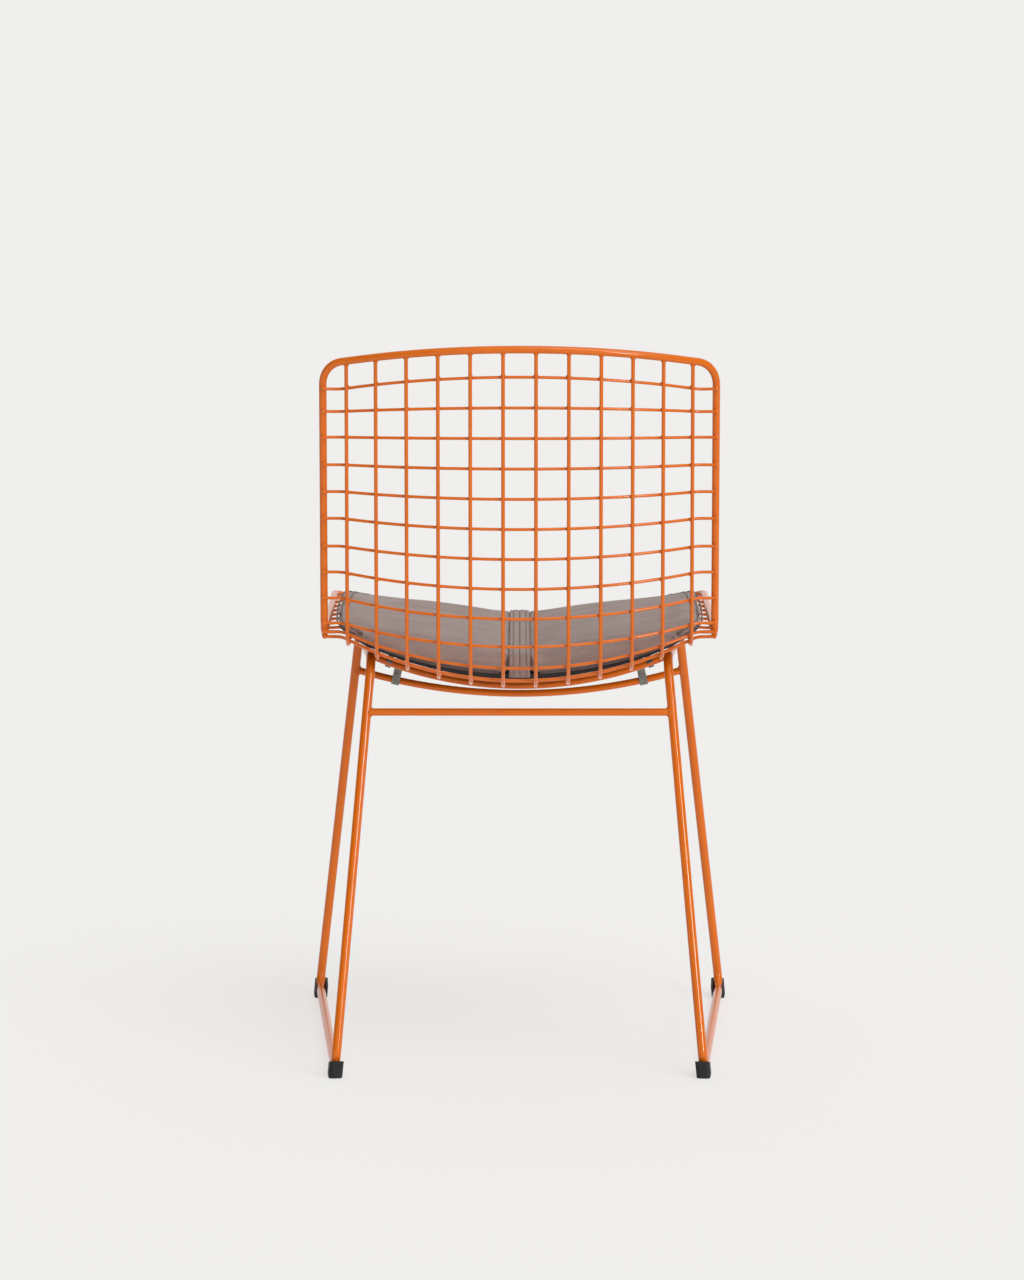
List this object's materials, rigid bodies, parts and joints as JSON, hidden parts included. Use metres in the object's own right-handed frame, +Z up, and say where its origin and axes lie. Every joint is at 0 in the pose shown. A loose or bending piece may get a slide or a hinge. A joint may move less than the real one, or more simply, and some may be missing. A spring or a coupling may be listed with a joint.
{
  "type": "dining chair",
  "caption": "Wire dining chair with a bent-rod sled base, a curved welded wire seat and back in one shell, black rubber feet and a loose leather-look seat pad.",
  "frame": {"origin": "on the floor, under the middle of the chair's bounding box", "axes": "+Z up, the sitter faces -Y, +X is to the right in a view from the front with -Y towards the viewer"},
  "size_m": [0.4852, 0.5502, 0.7875],
  "materials": {
    "powder_coat": "orange semi-gloss powder coat on steel",
    "rubber": "matt black moulded rubber",
    "steel": "zinc plated spring steel",
    "pad_cover": "taupe leather-look cover",
    "pad_cloth": "black non-slip cloth"
  },
  "bodies": {
    "chair_frame": {"back_tie": "powder_coat", "clip_nuts": "steel", "clip_screws": "steel", "cross_wire_01": "powder_coat", "cross_wire_02": "powder_coat", "cross_wire_03": "powder_coat", "cross_wire_04": "powder_coat", "cross_wire_05": "powder_coat", "cross_wire_06": "powder_coat", "cross_wire_07": "powder_coat", "cross_wire_08": "powder_coat", "cross_wire_09": "powder_coat", "cross_wire_10": "powder_coat", "cross_wire_11": "powder_coat", "cross_wire_12": "powder_coat", "cross_wire_13": "powder_coat", "cross_wire_14": "powder_coat", "cross_wire_15": "powder_coat", "cross_wire_16": "powder_coat", "cross_wire_17": "powder_coat", "cross_wire_18": "powder_coat", "cross_wire_19": "powder_coat", "cross_wire_20": "powder_coat", "cross_wire_21": "powder_coat", "cross_wire_22": "powder_coat", "foot_front_left": "rubber", "foot_front_right": "rubber", "foot_rear_left": "rubber", "foot_rear_right": "rubber", "front_seat_bar": "powder_coat", "long_wire_01": "powder_coat", "long_wire_02": "powder_coat", "long_wire_03": "powder_coat", "long_wire_04": "powder_coat", "long_wire_05": "powder_coat", "long_wire_06": "powder_coat", "long_wire_07": "powder_coat", "long_wire_08": "powder_coat", "long_wire_09": "powder_coat", "long_wire_10": "powder_coat", "long_wire_11": "powder_coat", "long_wire_12": "powder_coat", "rear_seat_bar": "powder_coat", "seat_clip_front_left": "steel", "seat_clip_front_right": "steel", "seat_clip_rear_left": "steel", "seat_clip_rear_right": "steel", "shell_rim": "powder_coat", "side_frame_left": "powder_coat", "side_frame_right": "powder_coat"},
    "seat_pad": {"pad_panel_left": "pad_cover", "pad_panel_right": "pad_cover", "pad_strip": "pad_cover", "pad_underside": "pad_cloth"}
  },
  "joints": [
    {"name": "pad_lift", "type": "slide", "parent": "chair_frame", "child": "seat_pad", "axis": [0, 0, 1], "range_m": [0, 0.15]}
  ]
}
